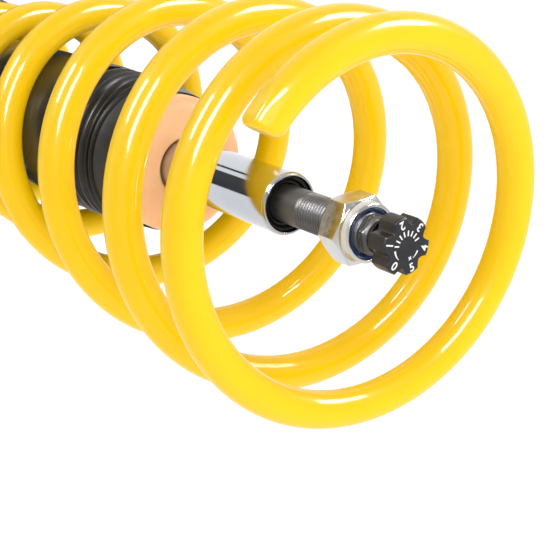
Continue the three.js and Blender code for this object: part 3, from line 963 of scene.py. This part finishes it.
def end_cap():
    low, high = heights("end_cap")
    shoulder = low + 5.7
    dimple = low + 0.8
    outline = filleted((0, dimple), (9, dimple), (10, low, 0.5), (TUBE - 2, low, 1.2), (TUBE, low + 2, 1.2),
                       (TUBE, shoulder, 0.3), (PLUG, shoulder), (PLUG, high), (0, high))
    place(evened(revolved("tube_end_cap", outline, 128)), "housing_steel", "end_cap")


def gland_nut():
    low, high = heights("gland_nut")
    bore = ROD + 0.7
    shoulder = high - 3.7
    flange = TUBE - 0.6
    outline = filleted((bore, low), (PLUG, low), (PLUG, shoulder), (flange, shoulder, 0.3),
                       (flange, high, 0.6), (bore + 3, high, 0.4), (bore + 2.4, high - 1, 0.3),
                       (bore, high - 1, 0.4))
    gland = evened(revolved("gland_nut_body", outline, 128))
    pins = 4  # holes for the pin spanner
    pin_circle = 18
    pin = 1.8
    depth = 3
    for i in range(pins):
        angle = TURN * i / pins
        spot = (pin_circle * math.cos(angle), pin_circle * math.sin(angle), high)
        hole = revolved("pin", [(0, -depth), (pin, -depth), (pin, depth), (0, depth)], 32)
        hole.data.transform(Matrix.Translation(Vector(spot) * MM))
        gland = carved(gland, hole)
    place(cleaned(gland), "black_oxide_steel", "gland_nut")


def weld(radius, z, start, end, throat):
    """A rippled fillet weld round the tube between two angles in degrees."""
    centres = []
    radii = []
    step = 0.4
    ripple_length = 1.6
    run_out = 6  # steps over which the bead's ends taper
    sweep = math.radians(end - start)
    count = round(radius * sweep / step)
    for i in range(count + 1):
        angle = math.radians(start) + sweep * i / count
        ripple = (i * step / ripple_length) % 1
        taper = min(1, i / run_out, (count - i) / run_out)
        centres.append(Vector((radius * math.cos(angle), radius * math.sin(angle), z)))
        radii.append(max(0.01, throat * taper * (0.86 + 0.14 * math.sqrt(1 - (2 * ripple - 1) ** 2))))
    return swept("weld_bead", centres, radii, 16)


# ---- spring perch ----

SPANNER_SLOTS = 8
SLOT_HALF_WIDTH = 3.5
SLOT_DEPTH = 3.4


def slot_tools(radius, low, high):
    """Cutting tools for the spanner slots round a collar."""
    tools = []
    for i in range(SPANNER_SLOTS):
        turn = (i + 0.5) * TURN / SPANNER_SLOTS
        inner = (radius - SLOT_DEPTH, -SLOT_HALF_WIDTH, low)
        outer = (radius + 5, SLOT_HALF_WIDTH, high)
        tools.append(block(inner, outer, turn))
    return tools


def perch():
    low, high = heights("spring_perch")
    seat = high - 12  # the pad lies on it
    bore = TUBE + 0.3
    flange = radius_of("spring_perch")
    body = 36
    boss = 29.8  # centres the spring's lowest coil
    screw_height = low + 5.2
    outline = [(bore + 0.8, low), (body - 0.8, low), (body, low + 0.8), (body, seat - 8),
               (flange - 1, seat - 6), (flange, seat - 5), (flange, seat - 0.8), (flange - 0.8, seat),
               (boss + 0.5, seat), (boss, seat + 0.5), (boss, seat + 1), (boss - 1, high - 0.8),
               (boss - 1.8, high), (bore + 0.8, high), (bore, high - 0.8), (bore, low + 0.8)]
    blank = revolved("spring_perch_collar", outline, 144)
    screw = drill(2.9, 20, (-body + 1, 0, screw_height), "X")
    carved(blank, screw, *slot_tools(body, low - 1, seat - 9.5))
    place(evened(bevelled(blank, 0.35)), "anodised_black", "spring_perch")


def grub_screw():
    low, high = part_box("perch_grub_screw")
    near = -high.x / MM
    far = -low.x / MM
    z = (low.z + high.z) / 2 / MM
    thread = 2.5
    key = 2.5  # width across flats of the socket
    floor_of_key = far - 2.5
    outline = filleted((0, near), (thread - 0.5, near), (thread, near + 0.5), (thread, far - 0.4, 0.2),
                       (thread - 0.4, far, 0.2), (key / 2, far), (key / 2, floor_of_key), (0, floor_of_key))

    def shape(radius, height, angle):
        if abs(radius - key / 2) < 0.05:
            return key / 2 / math.cos(angle % (TURN / 6) - TURN / 12), height
        return radius, height

    screw = revolved("perch_lock_screw", outline, 48, shape)
    lay = Matrix.Translation(Vector((0, 0, z)) * MM) @ Matrix.Rotation(-math.pi / 2, 4, "Y")
    screw.data.transform(lay)
    place(screw, "black_oxide_steel", "perch_grub_screw")


def pad():
    low, high = heights("spring_pad")
    outer = radius_of("spring_pad")
    inner = 30.1
    outline = filleted((inner, low, 0.5), (outer, low, 0.8), (outer, high, 1.0), (inner, high, 0.8))
    place(revolved("spring_slip_pad", outline, 144), "pad_plastic", "spring_pad")


def lock_ring():
    low, high = heights("perch_lock_ring")
    radius = radius_of("perch_lock_ring")
    bore = TUBE + 0.3
    outline = [(bore + 0.8, low), (radius - 0.8, low), (radius, low + 0.8), (radius, high - 0.8),
               (radius - 0.8, high), (bore + 0.8, high), (bore, high - 0.8), (bore, low + 0.8)]
    blank = revolved("perch_locking_ring", outline, 144)
    carved(blank, *slot_tools(radius, low - 1, high + 1))
    place(evened(bevelled(blank, 0.35)), "anodised_black", "perch_lock_ring")


# ---- brackets ----

BOLT = 7  # radius of the knuckle's bolt holes
BOLT_REACH = 60  # their distance from the strut's axis
BOLT_HEIGHTS = (24, 76)


def bracket():
    low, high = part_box("knuckle_bracket")
    bottom = low.z / MM
    top = high.z / MM
    reach = high.x / MM
    outer = high.y / MM
    plate = 6
    inner = outer - plate
    outline = ([(reach, -outer), (reach, -inner)] + arc((0, 0), inner, 270, 90, 48)
               + [(reach, inner), (reach, outer)] + arc((0, 0), outer, 90, 270, 48))
    blank = extruded("knuckle_clamp_bracket", outline, bottom, top)
    tools = [drill(BOLT, 100, (BOLT_REACH, 0, z)) for z in BOLT_HEIGHTS]
    tools.append(block((outer + 12, -outer - 1, top - 8), (reach + 1, outer + 1, top + 1)))
    carved(blank, *tools)
    place(evened(bevelled(blank, 0.9)), "housing_steel", "knuckle_bracket")


def link_tab():
    low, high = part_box("link_tab")
    near = high.x / MM
    far = low.x / MM
    bottom = low.z / MM
    top = high.z / MM
    thick = high.y / MM
    middle = (bottom + top) / 2
    round_end = (top - bottom) / 2
    profile = ([(near, -round_end), (near, round_end)]
               + arc((far + round_end, 0), round_end, 90, 270, 24))
    link = extruded("link_tab_plate", profile, -thick, thick)
    link.data.transform(Matrix.Translation(Vector((0, 0, middle)) * MM) @ Matrix.Rotation(math.pi / 2, 4, "X"))
    carved(link, drill(5.2, 20, (near - 15, 0, middle)))
    place(evened(bevelled(link, 0.5)), "housing_steel", "link_tab")


def hose_tab():
    low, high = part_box("hose_tab")
    half = high.x / MM
    near = low.y / MM
    far = high.y / MM
    ear = 3
    notch = 3.5
    notch_floor = near + 12.5
    outline = ([(-half, near), (half, near)] + arc((half - ear, far - ear), ear, 0, 90, 10)
               + [(notch, far), (notch, notch_floor)] + arc((0, notch_floor), notch, 0, -180, 14)
               + [(-notch, far)] + arc((-half + ear, far - ear), ear, 90, 180, 10))
    hose = extruded("brake_hose_tab", outline, low.z / MM, high.z / MM)
    place(evened(bevelled(hose, 0.35)), "housing_steel", "hose_tab")


def link_tab_bead(side):
    """An upright weld bead on one side of the link tab, side = -1 or 1."""
    low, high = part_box("link_tab")
    start = low.z / MM + 1.5
    rise = (high.z - low.z) / MM - 3
    count = 44
    centres = []
    radii = []
    for i in range(count + 1):
        centres.append(Vector((-TUBE - 0.9, side * (high.y / MM + 0.4), start + rise * i / count)))
        taper = min(1, (i + 0.5) / 4, (count - i + 0.5) / 4)
        radii.append(1.5 * taper * (0.9 + 0.1 * math.cos(i * 1.7)))
    return upright_bead(centres, radii)


def upright_bead(centres, radii, sides=14):
    """A bead that runs straight up, made of level rings."""
    points = []
    for centre, radius in zip(centres, radii):
        for k in range(sides):
            angle = TURN * k / sides
            points.append(centre + Vector((math.cos(angle), math.sin(angle), 0)) * radius)
    ends = [tuple(reversed(range(sides))), tuple(range(len(points) - sides, len(points)))]
    return cleaned(new_object("weld_bead", points, ends + ring_faces(len(centres), sides)))


def welds():
    low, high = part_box("knuckle_bracket")
    beads = [weld(TUBE + 1.4, z / MM, 62, 298, 1.9) for z in (high.z, low.z)]
    beads += [link_tab_bead(side) for side in (-1, 1)]
    low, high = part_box("hose_tab")
    beads += [weld(TUBE + 0.8, z / MM, 70, 110, 1.2) for z in (low.z, high.z)]
    place(joined("weld_beads", beads), "housing_steel", body="housing")


# ---- studio ----

def heading(azimuth, elevation):
    """A unit vector: azimuth 0 looks from -Y and 90 from +X, elevation is above the horizon."""
    a, e = math.radians(azimuth), math.radians(elevation)
    return Vector((math.sin(a) * math.cos(e), -math.cos(a) * math.cos(e), math.sin(e)))


LIT_POINT = Vector((0, 0, TOP - 60))  # what every light is aimed at
SKY_BRIGHT_SIDE = (0.35, -0.9, -0.25)  # where the surroundings are brightest
SKY_DIM = 0.5
SKY_BRIGHT = 1.15
SKY_EDGE = 0.7  # how far off that direction the sky reaches either strength
CARD_HEIGHT = 2


def softbox(name, azimuth, elevation, distance, size, radiance):
    """A rectangular light, size = (width, height), aimed at the upper end of the strut."""
    light = bpy.data.lights.new(name, "AREA")
    light.shape = "RECTANGLE"
    light.size, light.size_y = size[0] * MM, size[1] * MM
    light.energy = radiance * math.pi * light.size * light.size_y
    lamp = bpy.data.objects.new(name, light)
    bpy.context.scene.collection.objects.link(lamp)
    back = heading(azimuth, elevation)
    lamp.rotation_mode = "QUATERNION"
    lamp.rotation_quaternion = (-back).to_track_quat("-Z", "Y")
    lamp.location = (LIT_POINT + back * distance) * MM
    lamp.visible_camera = False
    return lamp


def streak_box(name, **placing):
    """A softbox that makes a bright streak in glossy surfaces and adds nothing to the soft light."""
    softbox(name, **placing).visible_diffuse = False


def fill_box(name, **placing):
    """A large soft light that leaves no reflection."""
    softbox(name, **placing).visible_glossy = False


def sky():
    """White surroundings, brighter on the side that is below the strut in the picture."""
    world = bpy.data.worlds.new("studio")
    world.use_nodes = True
    nodes = world.node_tree.nodes
    links = world.node_tree.links
    direction = nodes.new("ShaderNodeTexCoord")
    side = nodes.new("ShaderNodeVectorMath")
    side.operation = "DOT_PRODUCT"
    side.inputs[1].default_value = SKY_BRIGHT_SIDE
    shade = nodes.new("ShaderNodeMapRange")
    shade.inputs["From Min"].default_value = -SKY_EDGE
    shade.inputs["From Max"].default_value = SKY_EDGE
    shade.inputs["To Min"].default_value = SKY_DIM
    shade.inputs["To Max"].default_value = SKY_BRIGHT
    links.new(direction.outputs["Generated"], side.inputs[0])
    links.new(side.outputs["Value"], shade.inputs["Value"])
    links.new(shade.outputs["Result"], nodes["Background"].inputs["Strength"])
    nodes["Background"].inputs["Color"].default_value = (1, 1, 1, 1)
    bpy.context.scene.world = world


def floor():
    half = 9000  # half the floor's width
    cells = 12
    rows = stations(-half, half, 2 * half / cells)
    points = [(x, y, 0) for y in rows for x in rows]
    faces = []
    for j in range(cells):
        for i in range(cells):
            corner = j * (cells + 1) + i
            faces.append((corner, corner + 1, corner + cells + 2, corner + cells + 1))
    ground = new_object("studio_floor", points, faces)
    paper = principled("floor_paper", (0.95, 0.95, 0.95), 0.8)
    tinted(paper, grain(paper, 60), (0.3, (0.945, 0.945, 0.95)), (0.7, (0.955, 0.955, 0.955)))
    ground.data.materials.append(paper)
    ground.location.z = CAD_BOX[0].z - 0.5 * MM


def dark_card(name, near, far, start, end):
    """Dark card low beside the strut, between two distances and two azimuths, seen in reflections only."""
    rim = [heading(azimuth, 0) for azimuth in stations(start, end, 6)]
    points = [(v * near)[:2] for v in rim] + [(v * far)[:2] for v in reversed(rim)]
    card = new_object(name, [(x, y, CARD_HEIGHT) for x, y in points], [tuple(range(len(points)))])
    felt = principled("card_felt", (0.012, 0.012, 0.014), 0.9)
    tinted(felt, grain(felt, 40), (0.3, (0.01, 0.01, 0.012)), (0.7, (0.016, 0.016, 0.018)))
    card.data.materials.append(felt)
    card.visible_camera = False
    card.visible_diffuse = False
    card.visible_shadow = False


def studio():
    bpy.context.scene.view_settings.view_transform = "Standard"
    sky()
    floor()
    streak_box("left_low_box", azimuth=-121, elevation=-9, distance=1200, size=(440, 290), radiance=42)
    streak_box("left_high_box", azimuth=-128, elevation=43, distance=1200, size=(640, 300), radiance=42)
    streak_box("top_box", azimuth=150, elevation=23, distance=1300, size=(520, 380), radiance=32)
    fill_box("left_fill", azimuth=-128, elevation=43, distance=1200, size=(900, 900), radiance=1.2)
    fill_box("top_fill", azimuth=165, elevation=35, distance=1200, size=(900, 900), radiance=1.5)
    fill_box("ceiling_fill", azimuth=0, elevation=89, distance=3500, size=(6000, 6000), radiance=0.75)
    dark_card("foot_card", near=60, far=225, start=0, end=354)
    dark_card("band_card", near=270, far=460, start=-128, end=-73)
    dark_card("line_card", near=270, far=460, start=-151, end=-143)


# ---- camera ----

VIEW_AZIMUTH = -103.471
VIEW_ELEVATION = 50.322
VIEW_ROLL = 114.016
VIEW_DISTANCE = 382.55
VIEW_AIM = (0, -23.145, TOP - 41.622)
VIEW_LENS = 79.78  # millimetres, on a 36 mm wide sensor


def camera():
    lens = bpy.data.cameras.new("photo_camera")
    lens.lens = VIEW_LENS
    lens.sensor_width = 36
    lens.clip_start = 0.01
    lens.clip_end = 50
    holder = bpy.data.objects.new("photo_camera", lens)
    bpy.context.scene.collection.objects.link(holder)
    back = heading(VIEW_AZIMUTH, VIEW_ELEVATION)
    holder.rotation_mode = "QUATERNION"
    roll = Matrix.Rotation(math.radians(VIEW_ROLL), 3, "Z").to_quaternion()
    holder.rotation_quaternion = (-back).to_track_quat("-Z", "Y") @ roll
    holder.location = (Vector(VIEW_AIM) + back * VIEW_DISTANCE) * MM
    bpy.context.scene.camera = holder


# ---- the whole strut ----

finish_cad_nodes()
coil_spring()
piston_rod()
seat_ring()
stud()
nut()
nylon_ring()
knob()
knob_marks()
adjuster_shaft()
bump_stop()
boot()
sleeve()
strut_tube()
end_cap()
gland_nut()
perch()
grub_screw()
pad()
lock_ring()
bracket()
link_tab()
hose_tab()
welds()
studio()
camera()
